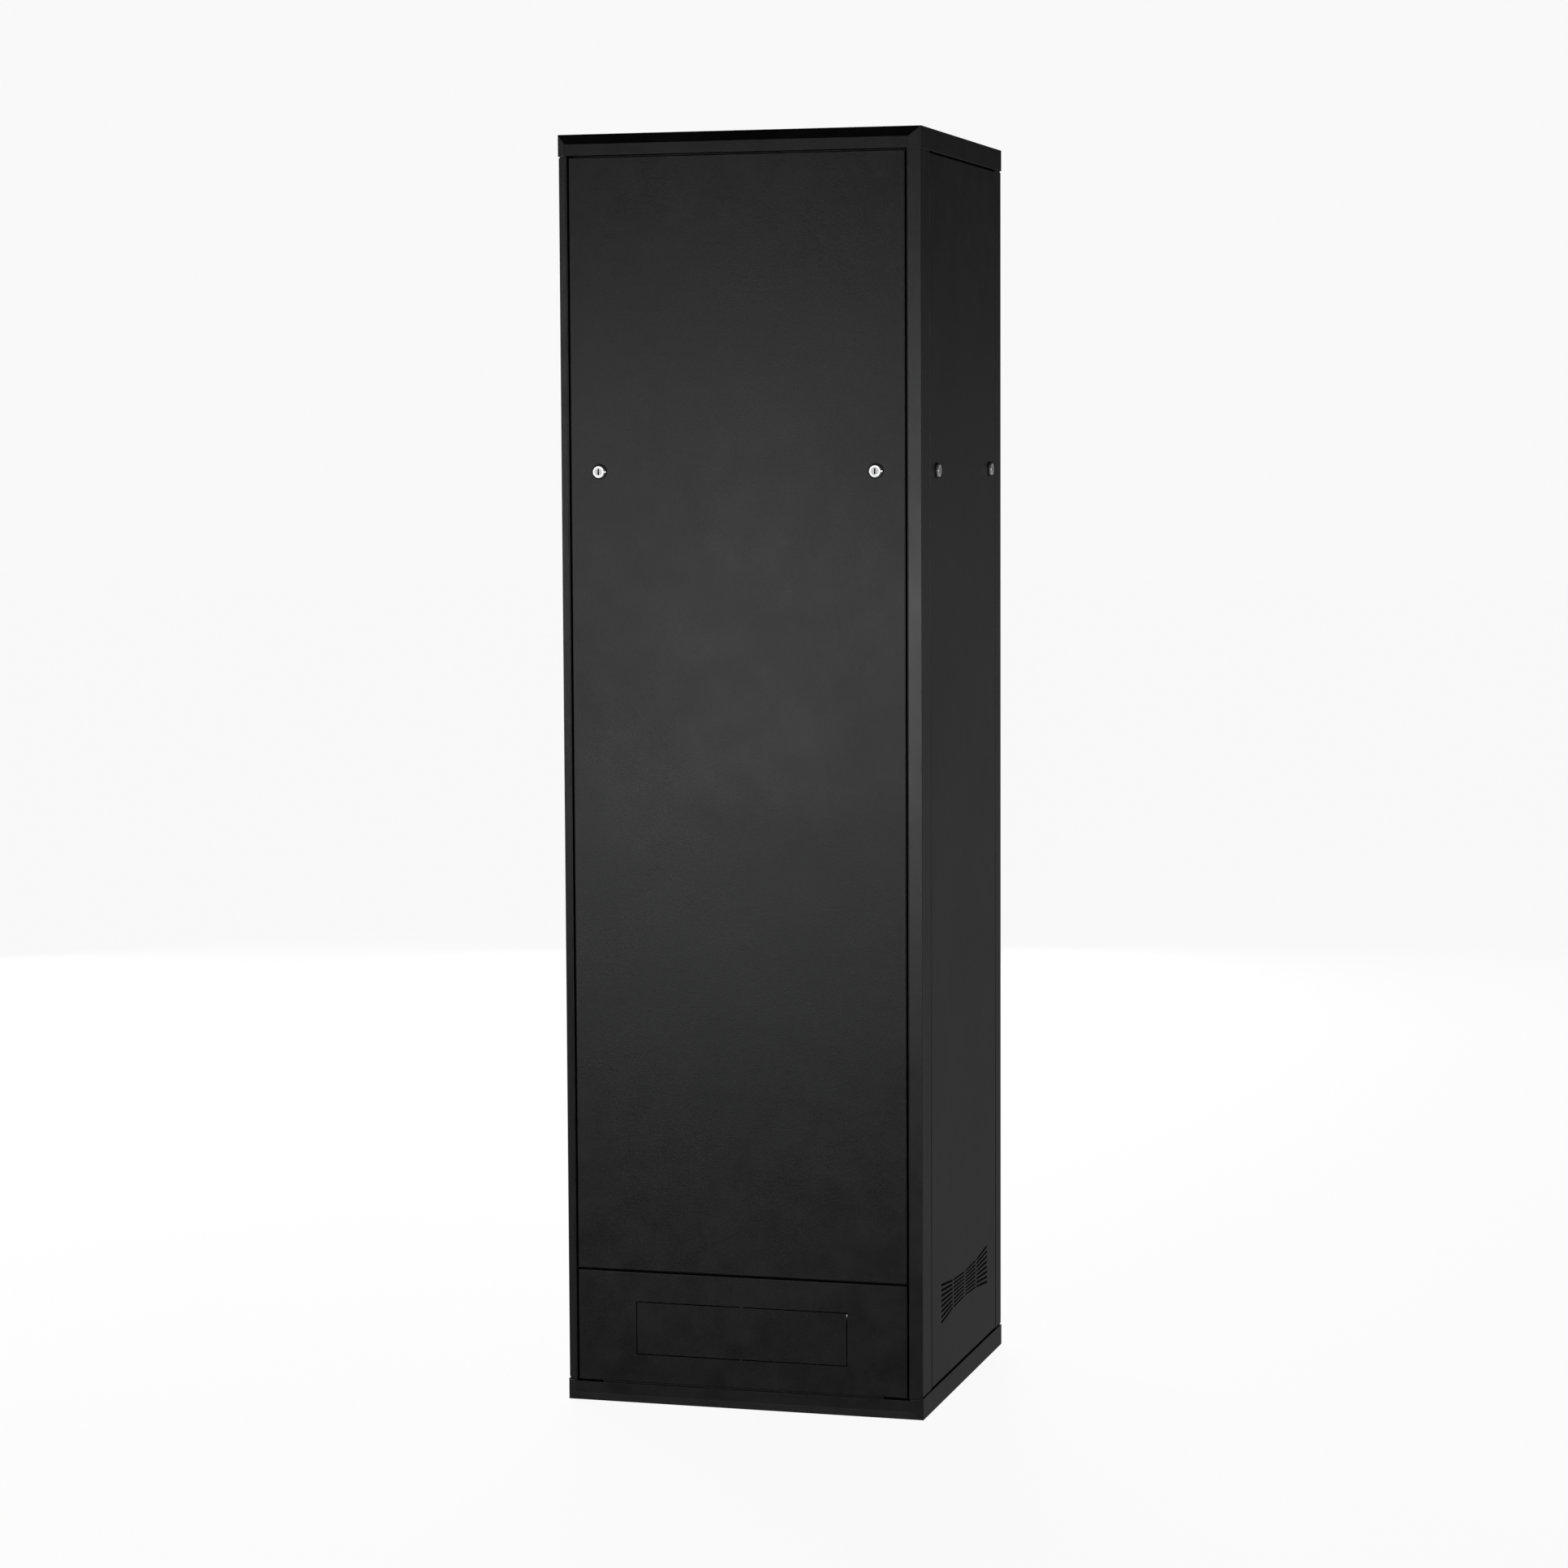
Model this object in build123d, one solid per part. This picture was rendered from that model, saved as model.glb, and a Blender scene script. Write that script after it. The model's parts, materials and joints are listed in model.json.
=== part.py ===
from build123d import *
from math import sqrt
import os

os.makedirs("parts", exist_ok=True)

# Free-standing 19 inch network rack cabinet. Millimetres, +Z up.
# The origin is at floor level under the middle of the cabinet.
# The glazed door faces -Y and the removable rear panel faces +Y.

# Overall
WIDTH = 600.0
DEPTH = 600.0
HEIGHT = 2060.0
BASE_HEIGHT = 35.0
CAP_HEIGHT = 35.0
REAR_CHAMFER = 17.0
FRONT_CHAMFER = 10.0

# Sheet and clearances
FRAME_SHEET = 2.0
PANEL_SHEET = 1.5
BODY_INSET = 1.0
GAP = 3.0
SEAT_GAP = 2.0
SEAM = 2.5
SEAM_DEPTH = 1.2
FIT = 0.06
EASE = 0.5

# Base and cap rings
RING_SIDE = 60.0
RING_END = 92.0
FOOT_HOLE_RADIUS = 6.5
FOOT_INSET_X = 72.0
FOOT_INSET_Y = 52.0

# Corner posts
REAR_STRIP = 76.0
FRONT_STRIP = 50.0
POST_FLAT = 2.0
LAND = 18.0
EDGE_RADIUS = 1.0
RIM_RADIUS = 0.8

# Floor and roof plates
FLOOR_MARGIN = 4.0
CABLE_SLOT_X = 200.0
CABLE_SLOT_Y = 60.0
CABLE_SLOT_CENTRE = 165.0
GLAND_OVERLAP = 14.0
SCREW_RADIUS = 3.0
SCREW_HEAD_RADIUS = 5.5
SCREW_HEAD_HEIGHT = 2.5
FAN_PITCH = 210.0
FAN_BOLT_SPACING = 105.0
FAN_BOLT_RADIUS = 2.2
FAN_SLOT_WIDTH = 5.0
FAN_SLOT_PITCH = 10.0
FAN_VENT_RADIUS = 55.0

# Depth rails and 19 inch rails
DEPTH_RAIL_HEIGHT = 40.0
DEPTH_RAIL_LOW = 62.0
DEPTH_RAIL_FLANGE = 15.0
RACK_FACE_Y = 190.0
RACK_UNIT = 44.45
RACK_HEADROOM = 57.0
RACK_FIRST_UNIT = 92.0
RACK_HOLE_SPACING = 465.1
RACK_HOLE_SIDE = 9.5
RACK_HOLE_STEP = 15.875
RACK_CLEAR_WIDTH = 450.0
RACK_RAIL_MARGIN = 26.0
RACK_RAIL_LEG = 34.0
RAIL_BOLT_RADIUS = 4.0
RAIL_BOLT_HEAD = 7.0

# Panels
PANEL_DEPTH = 18.0
PANEL_EDGE_RADIUS = 1.4
LOWER_PANEL_HEIGHT = 182.5
STIFFENER_WIDTH = 44.0
STIFFENER_DEPTH = 12.0
STIFFENER_MARGIN = 90.0
LEDGE_WIDTH = 12.0
CROSS_BAR_FLANGE = 12.0
CROSS_BAR_BELOW = 22.0
CROSS_BAR_ABOVE = 12.0
LINTEL_HEIGHT = 32.0
LEDGE_SHORTER = 40.0

# Knock-out scored in the lower rear panel
KNOCKOUT_WIDTH = 356.0
KNOCKOUT_HEIGHT = 88.0
KNOCKOUT_CENTRE = 128.0
KNOCKOUT_SCORE = 1.6
KNOCKOUT_BRIDGE = 4.0

# Louvres in each side panel
LOUVRE_ROWS = 8
LOUVRE_HALF_LENGTH = 168.0
LOUVRE_BRIDGE = 8.0
LOUVRE_CENTRE = 163.0
LOUVRE_HALF_END = 31.0
LOUVRE_HALF_MIDDLE = 20.0
LOUVRE_SLOT_END = 4.2
LOUVRE_SLOT_MIDDLE = 2.4

# Dust filter mats behind the louvres
FILTER_THICKNESS = 5.0
FILTER_MARGIN = 8.0

# Quarter-turn cam locks
LOCK_HEIGHT = 1521.0
LOCK_REAR_INSET = 48.0
LOCK_SIDE_INSET = 43.0
LOCK_BEZEL_RADIUS = 10.0
LOCK_BEZEL_HEIGHT = 5.6
LOCK_BEZEL_EDGE = 1.2
LOCK_INDEX_WIDTH = 2.2
LOCK_INDEX_REACH = 12.2
LOCK_INDEX_HEIGHT = 4.8
LOCK_THREAD_RADIUS = 8.6
LOCK_NUT_RADIUS = 12.5
LOCK_NUT_HEIGHT = 3.5
LOCK_PLUG_RADIUS = 6.6
LOCK_TANG_RADIUS = 3.2
LOCK_HEAD_RADIUS = 5.0
LOCK_HEAD_HEIGHT = 1.6
KEY_SLOT_WIDTH = 2.4
KEY_SLOT_LENGTH = 9.0
KEY_SLOT_DEPTH = 6.0
CAM_THICKNESS = 2.2
CAM_WIDTH = 15.0
CAM_LAP = 6.0
KEEPER_THICKNESS = 2.5
KEEPER_HEIGHT = 36.0
SIDE_KEEPER_LENGTH = 10.0
REAR_KEEPER_LENGTH = 16.0

# Front door
WINDOW_STILE = 62.0
WINDOW_RAIL = 92.0
WINDOW_FLANGE = 12.0
GLASS_THICKNESS = 4.0
GLASS_LAP = 12.0
GASKET_THICKNESS = 2.0
RETAINER_THICKNESS = 1.5
PIVOT_INSET = 5.5
PIN_RADIUS = 3.0
PIN_COLLAR_RADIUS = 4.6
PIN_LENGTH = 16.0
HINGE_BLOCK_SIZE = 15.0
HINGE_BLOCK_HEIGHT = 14.0
HANDLE_HEIGHT = 1130.0
ESCUTCHEON_WIDTH = 28.0
ESCUTCHEON_ABOVE = 46.0
ESCUTCHEON_BELOW = 138.0
ESCUTCHEON_THICKNESS = 4.0
SPINDLE_RADIUS = 5.0
LEVER_BOSS_RADIUS = 11.0
LEVER_BOSS_HEIGHT = 11.0
LEVER_LENGTH = 122.0
LEVER_WIDTH = 17.0
LEVER_THICKNESS = 7.0
BARREL_RADIUS = 7.0
BARREL_RISE = 28.0
BARREL_STAND = 2.0
DOOR_CAM_WIDTH = 12.0
DOOR_CAM_THICKNESS = 2.5
DOOR_KEEPER_HEIGHT = 80.0
DOOR_KEEPER_CLEAR = 2.0

# Earth stud on the floor plate
STUD_RADIUS = 3.0
STUD_LENGTH = 22.0
STUD_NUT_RADIUS = 5.5
STUD_NUT_HEIGHT = 5.0

# Worked out from the values above
BODY_X = WIDTH / 2 - BODY_INSET
BODY_Y = DEPTH / 2 - BODY_INSET
BODY_TOP = HEIGHT - CAP_HEIGHT
END_OPENING = BODY_X - REAR_CHAMFER - POST_FLAT
SIDE_REAR = BODY_Y - REAR_STRIP
SIDE_FRONT = BODY_Y - FRONT_STRIP
RECESS = PANEL_DEPTH + SEAT_GAP
LAND_X = BODY_X - RECESS
LAND_Y = BODY_Y - RECESS
POST_INNER_X = END_OPENING - LAND
POST_REAR_Y = SIDE_REAR - LAND
POST_FRONT_Y = SIDE_FRONT - LAND
PANEL_LOW = BASE_HEIGHT + GAP
PANEL_HIGH = BODY_TOP - GAP
LOWER_PANEL_TOP = PANEL_LOW + LOWER_PANEL_HEIGHT
REAR_PANEL_LOW = LOWER_PANEL_TOP + GAP
END_PANEL_X = END_OPENING - GAP
SIDE_PANEL_Y = (SIDE_REAR + SIDE_FRONT) / 2 - GAP
SIDE_MIDDLE = (SIDE_REAR - SIDE_FRONT) / 2
REAR_LOCK_X = END_PANEL_X - LOCK_REAR_INSET
SIDE_LOCK_Y = SIDE_PANEL_Y - LOCK_SIDE_INSET
FLOOR_TOP = BASE_HEIGHT + PANEL_SHEET
RING_X = WIDTH / 2 - RING_SIDE
RING_Y = DEPTH / 2 - RING_END
RACK_UNITS = int((BODY_TOP - RACK_HEADROOM - RACK_FIRST_UNIT) / RACK_UNIT)
gland_screws = [
    (
        sx * (CABLE_SLOT_X + GLAND_OVERLAP) / 2,
        CABLE_SLOT_CENTRE + sy * (CABLE_SLOT_Y + GLAND_OVERLAP) / 2,
    )
    for sx in (-1, 1)
    for sy in (-1, 1)
]


def block(x0, x1, y0, y1, z0, z1):
    """Block between two limits on each axis."""
    middle = Pos((x0 + x1) / 2, (y0 + y1) / 2, (z0 + z1) / 2)
    return middle * Box(abs(x1 - x0), abs(y1 - y0), abs(z1 - z0))


def upright(outline, z0, z1):
    """Prism on a plan outline, from z0 to z1."""
    return extrude(Pos(0, 0, z0) * outline, z1 - z0, dir=(0, 0, 1))


def outline(*points):
    """Closed plan outline through points."""
    return make_face(Polyline(*points, close=True))


def rod(radius, start, direction, length):
    """Round bar from a point along a direction."""
    return Plane(origin=start, z_dir=direction) * Cylinder(
        radius, length, align=(Align.CENTER, Align.CENTER, Align.MIN)
    )


def hexagon(radius, start, direction, length):
    """Hexagonal prism from a point along a direction."""
    sketch = Plane(origin=start, z_dir=direction) * RegularPolygon(radius, 6)
    return extrude(sketch, length, dir=direction)


def flip_x(shape):
    """Mirror image across the middle plane between left and right."""
    return mirror(shape, about=Plane.YZ)


def flip_y(shape):
    """Mirror image across the middle plane between front and rear."""
    return mirror(shape, about=Plane.XZ)


def envelope(inset, z0, z1):
    """Ring envelope: upright corner chamfers, and lower chamfers at front and rear."""
    loss = inset * (2 - sqrt(2))
    front = FRONT_CHAMFER - loss
    rear = REAR_CHAMFER - loss
    x = WIDTH / 2 - inset
    y = DEPTH / 2 - inset
    plan = outline(
        (-x, -y + front), (-x + front, -y), (x - front, -y), (x, -y + front),
        (x, y - rear), (x - rear, y), (-x + rear, y), (-x, y - rear),
    )
    side = outline(
        (-y + front, inset), (y - rear, inset), (y, inset + rear),
        (y, HEIGHT), (-y, HEIGHT), (-y, inset + front),
    )
    if inset == 0:
        plan = fillet(plan.vertices(), EDGE_RADIUS)
    body = Plane(origin=(-x, 0, 0), x_dir=(0, 1, 0), z_dir=(1, 0, 0)) * side
    return upright(plan, z0, z1) & extrude(body, 2 * x, dir=(1, 0, 0))


def ring(height):
    """Folded floor ring, open towards the middle."""
    outer = envelope(0, 0, height)
    outer = fillet(outer.faces().sort_by(Axis.Z)[-1].edges(), RIM_RADIUS)
    return outer - envelope(FRAME_SHEET, FRAME_SHEET, height - FRAME_SHEET)


def turned_over(shape):
    """Shape stood on its head at the top of the cabinet."""
    return mirror(shape, about=Plane.XY.offset(HEIGHT / 2))


def post(chamfer, strip):
    """Closed corner post at +X, +Y with a pocket on each face for a panel."""
    flat = BODY_X - chamfer
    opening = BODY_Y - strip
    inner = opening - LAND
    plan = outline(
        (END_OPENING, BODY_Y), (flat, BODY_Y), (BODY_X, BODY_Y - chamfer),
        (BODY_X, opening), (LAND_X, opening), (LAND_X, inner),
        (POST_INNER_X, inner), (POST_INNER_X, LAND_Y), (END_OPENING, LAND_Y),
    )
    outer = [v for v in plan.vertices() if v.X > BODY_X - EASE or v.Y > BODY_Y - EASE]
    plan = fillet(outer, EDGE_RADIUS)
    hollow = offset(plan, -FRAME_SHEET, kind=Kind.INTERSECTION)
    foot = offset(plan, -SEAM_DEPTH, kind=Kind.INTERSECTION)
    tube = upright(plan, BASE_HEIGHT + SEAM, BODY_TOP - SEAM)
    plug = 2 * SEAM
    cavity = upright(hollow, BASE_HEIGHT + plug, BODY_TOP - plug)
    return tube + upright(foot, BASE_HEIGHT, BODY_TOP) - cavity


def cross_bar(z0, z1):
    """Angle between the rear posts, level with the backs of their pockets."""
    bar = block(-POST_INNER_X, POST_INNER_X, LAND_Y - FRAME_SHEET, LAND_Y, z0, z1)
    return bar + block(-POST_INNER_X, POST_INNER_X, LAND_Y - CROSS_BAR_FLANGE, LAND_Y,
                       z0, z0 + FRAME_SHEET)


def tray(x, z0, z1, sheet=PANEL_SHEET):
    """Panel folded to a tray that faces +Y, with rounded outer edges."""
    skin = block(-x, x, BODY_Y - PANEL_DEPTH, BODY_Y, z0, z1)
    edges = skin.faces().sort_by(Axis.Y)[-1].edges()
    skin = fillet(edges, PANEL_EDGE_RADIUS)
    return skin - block(
        -x + sheet, x - sheet, BODY_Y - PANEL_DEPTH, BODY_Y - sheet, z0 + sheet, z1 - sheet
    )


def hat(z0, z1, face):
    """Folded stiffener on the inside of a tray whose skin ends at y = face."""
    half = STIFFENER_WIDTH / 2
    inner = face - STIFFENER_DEPTH
    solid = block(-half, half, inner, face, z0, z1)
    return solid - block(
        -half + PANEL_SHEET, half - PANEL_SHEET, inner + PANEL_SHEET, face, z0, z1
    )


def lock_parts(reach):
    """Cam lock on the +Y face at x = z = 0: housing with nut, plug and cam."""
    outer = BODY_Y + LOCK_BEZEL_HEIGHT
    inner = LAND_Y - KEEPER_THICKNESS - EASE
    back = (0, -1, 0)
    bezel = rod(LOCK_BEZEL_RADIUS, (0, outer, 0), back, LOCK_BEZEL_HEIGHT)
    bezel = fillet(bezel.faces().sort_by(Axis.Y)[-1].edges(), LOCK_BEZEL_EDGE)
    housing = bezel + rod(LOCK_THREAD_RADIUS, (0, BODY_Y, 0), back, BODY_Y - inner - EASE)
    bore = rod(LOCK_PLUG_RADIUS + FIT, (0, outer, 0), back, outer - inner + EASE)
    index = block(-LOCK_INDEX_REACH, 0, BODY_Y, BODY_Y + LOCK_INDEX_HEIGHT,
                  -LOCK_INDEX_WIDTH / 2, LOCK_INDEX_WIDTH / 2)
    housing = housing + index - bore
    seat = BODY_Y - PANEL_SHEET
    nut = hexagon(LOCK_NUT_RADIUS, (0, seat, 0), back, LOCK_NUT_HEIGHT)
    nut = nut - rod(LOCK_THREAD_RADIUS, (0, seat, 0), back, LOCK_NUT_HEIGHT)
    plug = rod(LOCK_PLUG_RADIUS, (0, outer, 0), back, outer - inner)
    plug = plug + rod(LOCK_TANG_RADIUS, (0, inner, 0), back, CAM_THICKNESS)
    head = rod(LOCK_HEAD_RADIUS, (0, inner - CAM_THICKNESS, 0), back, LOCK_HEAD_HEIGHT)
    slot = block(
        -KEY_SLOT_WIDTH / 2, KEY_SLOT_WIDTH / 2, outer - KEY_SLOT_DEPTH, outer,
        -KEY_SLOT_LENGTH / 2, KEY_SLOT_LENGTH / 2,
    )
    plug = plug + head - slot
    half = CAM_WIDTH / 2
    cam = block(-half, half, inner - CAM_THICKNESS, inner, -reach, 0)
    cam = cam + rod(half, (0, inner, 0), back, CAM_THICKNESS)
    cam = cam - rod(LOCK_TANG_RADIUS, (0, inner, 0), back, CAM_THICKNESS)
    return Part() + [housing, nut], plug, cam


def to_side(shape):
    """Turn a piece made for the +Y face so that it faces +X, on the middle of the side panel."""
    return Pos(0, SIDE_MIDDLE, 0) * Rot(0, 0, -90) * (Pos(0, BODY_X - BODY_Y, 0) * shape)


def louvres(x0, x1):
    """Fan of tapering slots either side of the middle of a side panel."""
    slots = []
    middle = LOUVRE_BRIDGE / 2
    split = LOUVRE_HALF_LENGTH / 2
    plane = Plane(origin=(x0, 0, 0), x_dir=(0, 1, 0), z_dir=(1, 0, 0))
    for start, end in ((middle, split - middle), (split + middle, LOUVRE_HALF_LENGTH)):
        for row in range(LOUVRE_ROWS):
            share = 2 * row / (LOUVRE_ROWS - 1) - 1
            near = start / LOUVRE_HALF_LENGTH
            far = end / LOUVRE_HALF_LENGTH
            spread = LOUVRE_HALF_END - LOUVRE_HALF_MIDDLE
            taper = LOUVRE_SLOT_END - LOUVRE_SLOT_MIDDLE
            z_near = LOUVRE_CENTRE + share * (LOUVRE_HALF_MIDDLE + spread * near**2)
            z_far = LOUVRE_CENTRE + share * (LOUVRE_HALF_MIDDLE + spread * far**2)
            w_near = (LOUVRE_SLOT_MIDDLE + taper * near) / 2
            w_far = (LOUVRE_SLOT_MIDDLE + taper * far) / 2
            slot = outline(
                (start, z_near - w_near), (end, z_far - w_far),
                (end, z_far + w_far), (start, z_near + w_near),
            )
            cut = extrude(plane * slot, x1 - x0, dir=(1, 0, 0))
            slots += [Pos(0, SIDE_MIDDLE, 0) * cut, Pos(0, SIDE_MIDDLE, 0) * flip_y(cut)]
    return slots


def pan_screw(x, y, z, up, radius=SCREW_RADIUS, grip=0.0):
    """Pan-head screw whose head sits on the plate face at z; up is 1 or -1."""
    head = rod(SCREW_HEAD_RADIUS, (x, y, z), (0, 0, up), SCREW_HEAD_HEIGHT)
    return head + rod(radius, (x, y, z), (0, 0, -up), grip)


def gland(z):
    """Blank plate over a cable slot, its underside at z."""
    x = CABLE_SLOT_X / 2 + GLAND_OVERLAP
    y = CABLE_SLOT_Y / 2 + GLAND_OVERLAP
    plate = block(-x, x, CABLE_SLOT_CENTRE - y, CABLE_SLOT_CENTRE + y, z, z + PANEL_SHEET)
    plate = fillet(plate.edges().filter_by(Axis.Z), GLAND_OVERLAP / 2)
    for x, y in gland_screws:
        plate = plate - rod(SCREW_RADIUS, (x, y, z), (0, 0, 1), PANEL_SHEET)
    return plate


nodes = {}

# Floor ring, cut into the four folded members that it is made of
floor_ring = ring(BASE_HEIGHT) - block(-RING_X, RING_X, -RING_Y, RING_Y, 0, BASE_HEIGHT)
foot_x = WIDTH / 2 - FOOT_INSET_X
foot_y = DEPTH / 2 - FOOT_INSET_Y
for sx in (-1, 1):
    for sy in (-1, 1):
        hole = rod(FOOT_HOLE_RADIUS, (sx * foot_x, sy * foot_y, 0), (0, 0, 1), FRAME_SHEET)
        floor_ring = floor_ring - hole
nodes["base_front"] = floor_ring & block(-WIDTH, WIDTH, -DEPTH, -RING_Y, 0, BASE_HEIGHT)
nodes["base_rear"] = floor_ring & block(-WIDTH, WIDTH, RING_Y, DEPTH, 0, BASE_HEIGHT)
nodes["base_left"] = floor_ring & block(-WIDTH, 0, -RING_Y, RING_Y, 0, BASE_HEIGHT)
nodes["base_right"] = floor_ring & block(0, WIDTH, -RING_Y, RING_Y, 0, BASE_HEIGHT)

# Roof cap: the same folded outline turned over, with a closed top
cap = turned_over(ring(CAP_HEIGHT))
cap = cap - block(-RING_X, RING_X, -RING_Y, RING_Y, BODY_TOP, HEIGHT - FRAME_SHEET)

# Vent slots over two fan places, with the fan screw holes
fan_centres = (-FAN_PITCH / 2, FAN_PITCH / 2)
rows = int(FAN_VENT_RADIUS / FAN_SLOT_PITCH)
for centre in fan_centres:
    for row in range(-rows, rows + 1):
        y = row * FAN_SLOT_PITCH
        reach = sqrt(FAN_VENT_RADIUS**2 - y**2)
        half = FAN_SLOT_WIDTH / 2
        cap = cap - block(centre - reach, centre + reach, y - half, y + half,
                          HEIGHT - FRAME_SHEET, HEIGHT)
    for sx in (-1, 1):
        for sy in (-1, 1):
            at = (centre + sx * FAN_BOLT_SPACING / 2, sy * FAN_BOLT_SPACING / 2, HEIGHT)
            cap = cap - rod(FAN_BOLT_RADIUS, at, (0, 0, -1), FRAME_SHEET)
slot_low = CABLE_SLOT_CENTRE - CABLE_SLOT_Y / 2
slot_high = CABLE_SLOT_CENTRE + CABLE_SLOT_Y / 2
slot_x = CABLE_SLOT_X / 2
cap = cap - block(-slot_x, slot_x, slot_low, slot_high, HEIGHT - FRAME_SHEET, HEIGHT)

# Floor plate between the posts
floor_x = POST_INNER_X - FLOOR_MARGIN
floor_y = LAND_Y - RECESS
floor = block(-floor_x, floor_x, -floor_y, floor_y, BASE_HEIGHT, FLOOR_TOP)
floor = floor - block(-slot_x, slot_x, slot_low, slot_high, BASE_HEIGHT, FLOOR_TOP)
roof_gland_z = HEIGHT - FRAME_SHEET - PANEL_SHEET
nodes["floor_gland_plate"] = gland(FLOOR_TOP)
nodes["roof_gland_plate"] = gland(roof_gland_z)
screws = Part()
for x, y in gland_screws:
    floor = floor - rod(SCREW_RADIUS, (x, y, BASE_HEIGHT), (0, 0, 1), PANEL_SHEET)
    cap = cap - rod(SCREW_RADIUS, (x, y, HEIGHT), (0, 0, -1), FRAME_SHEET)
    screws += pan_screw(x, y, FLOOR_TOP + PANEL_SHEET, 1, grip=2 * PANEL_SHEET)
    screws += pan_screw(x, y, roof_gland_z, -1, grip=PANEL_SHEET + FRAME_SHEET)
plate_x = RING_X + (floor_x - RING_X) / 2
for sx in (-1, 1):
    for sy in (-1, 1):
        x = sx * plate_x
        y = sy * (RING_Y - RING_SIDE / 2)
        floor = floor - rod(SCREW_RADIUS, (x, y, BASE_HEIGHT), (0, 0, 1), PANEL_SHEET)
        screws += pan_screw(x, y, FLOOR_TOP, 1, grip=PANEL_SHEET)

# Earth stud through the floor plate
stud_at = (-RACK_CLEAR_WIDTH / 4, -CABLE_SLOT_CENTRE)
floor = floor - rod(STUD_RADIUS, (*stud_at, BASE_HEIGHT), (0, 0, 1), PANEL_SHEET)
stud = rod(STUD_RADIUS, (*stud_at, BASE_HEIGHT), (0, 0, 1), STUD_LENGTH)
nodes["earth_stud"] = stud + hexagon(STUD_NUT_RADIUS, (*stud_at, FLOOR_TOP), (0, 0, 1), STUD_NUT_HEIGHT)
nodes["floor_plate"] = floor
nodes["roof_cap"] = cap

# Corner posts
rear_post = post(REAR_CHAMFER, REAR_STRIP)
front_post = flip_y(post(FRONT_CHAMFER, FRONT_STRIP))
nodes["post_rear_right"] = rear_post
nodes["post_rear_left"] = flip_x(rear_post)
nodes["post_front_right"] = front_post
nodes["post_front_left"] = flip_x(front_post)

# Depth rails: three folded rails on each side, from post to post
rack_middle = RACK_FIRST_UNIT + RACK_UNITS * RACK_UNIT / 2
rail_top = BODY_TOP - (DEPTH_RAIL_LOW - BASE_HEIGHT)
rail_starts = (DEPTH_RAIL_LOW, rack_middle - DEPTH_RAIL_HEIGHT / 2, rail_top - DEPTH_RAIL_HEIGHT)
rail_out = POST_INNER_X + DEPTH_RAIL_FLANGE
right_rails = Part()
for z in rail_starts:
    bar = block(POST_INNER_X, rail_out, -POST_FRONT_Y, POST_REAR_Y, z, z + DEPTH_RAIL_HEIGHT)
    right_rails += bar - block(
        POST_INNER_X + FRAME_SHEET, rail_out, -POST_FRONT_Y, POST_REAR_Y,
        z + FRAME_SHEET, z + DEPTH_RAIL_HEIGHT - FRAME_SHEET,
    )

# 19 inch mounting rails, with three square holes in each rack unit
rack_low = RACK_FIRST_UNIT - RACK_RAIL_MARGIN
rack_high = RACK_FIRST_UNIT + RACK_UNITS * RACK_UNIT + RACK_RAIL_MARGIN
rack_inner = RACK_CLEAR_WIDTH / 2
rack_leg = RACK_FACE_Y - RACK_RAIL_LEG
face = outline(
    (rack_inner, rack_low), (POST_INNER_X, rack_low),
    (POST_INNER_X, rack_high), (rack_inner, rack_high),
)
holes = [
    Pos(RACK_HOLE_SPACING / 2, RACK_FIRST_UNIT + (unit + 0.5) * RACK_UNIT + step * RACK_HOLE_STEP)
    * Rectangle(RACK_HOLE_SIDE, RACK_HOLE_SIDE)
    for unit in range(RACK_UNITS)
    for step in (-1, 0, 1)
]
wires = [hole.faces()[0].outer_wire() for hole in holes]
face = Face(face.faces()[0].outer_wire(), wires)
plane = Plane(origin=(0, RACK_FACE_Y, 0), x_dir=(1, 0, 0), z_dir=(0, -1, 0))
rack_rail = extrude(plane * face, FRAME_SHEET, dir=(0, -1, 0))
leg = block(POST_INNER_X - FRAME_SHEET, POST_INNER_X, rack_leg, RACK_FACE_Y - FRAME_SHEET,
            rack_low, rack_high)
rack_rail = rack_rail + leg

# Bolts that hold the mounting rails to the depth rails
bolt_y = rack_leg + (RACK_RAIL_LEG - FRAME_SHEET) / 2
bolts = Part()
for z in rail_starts:
    for sy in (-1, 1):
        at = (POST_INNER_X + FRAME_SHEET, sy * bolt_y, z + DEPTH_RAIL_HEIGHT / 2)
        hole = rod(RAIL_BOLT_RADIUS + FIT, at, (-1, 0, 0), 2 * FRAME_SHEET)
        shank = rod(RAIL_BOLT_RADIUS, at, (-1, 0, 0), 2 * FRAME_SHEET)
        right_rails = right_rails - hole
        rack_rail = rack_rail - hole
        bolts += shank + hexagon(RAIL_BOLT_HEAD, at, (1, 0, 0), RAIL_BOLT_RADIUS)
nodes["depth_rails"] = right_rails + flip_x(right_rails)
nodes["rack_rail_rear_right"] = rack_rail
nodes["rack_rail_rear_left"] = flip_x(rack_rail)
nodes["rack_rail_front_right"] = flip_y(rack_rail)
nodes["rack_rail_front_left"] = flip_x(flip_y(rack_rail))
nodes["rail_bolts"] = bolts + flip_x(bolts)
nodes["plate_screws"] = screws

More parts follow.
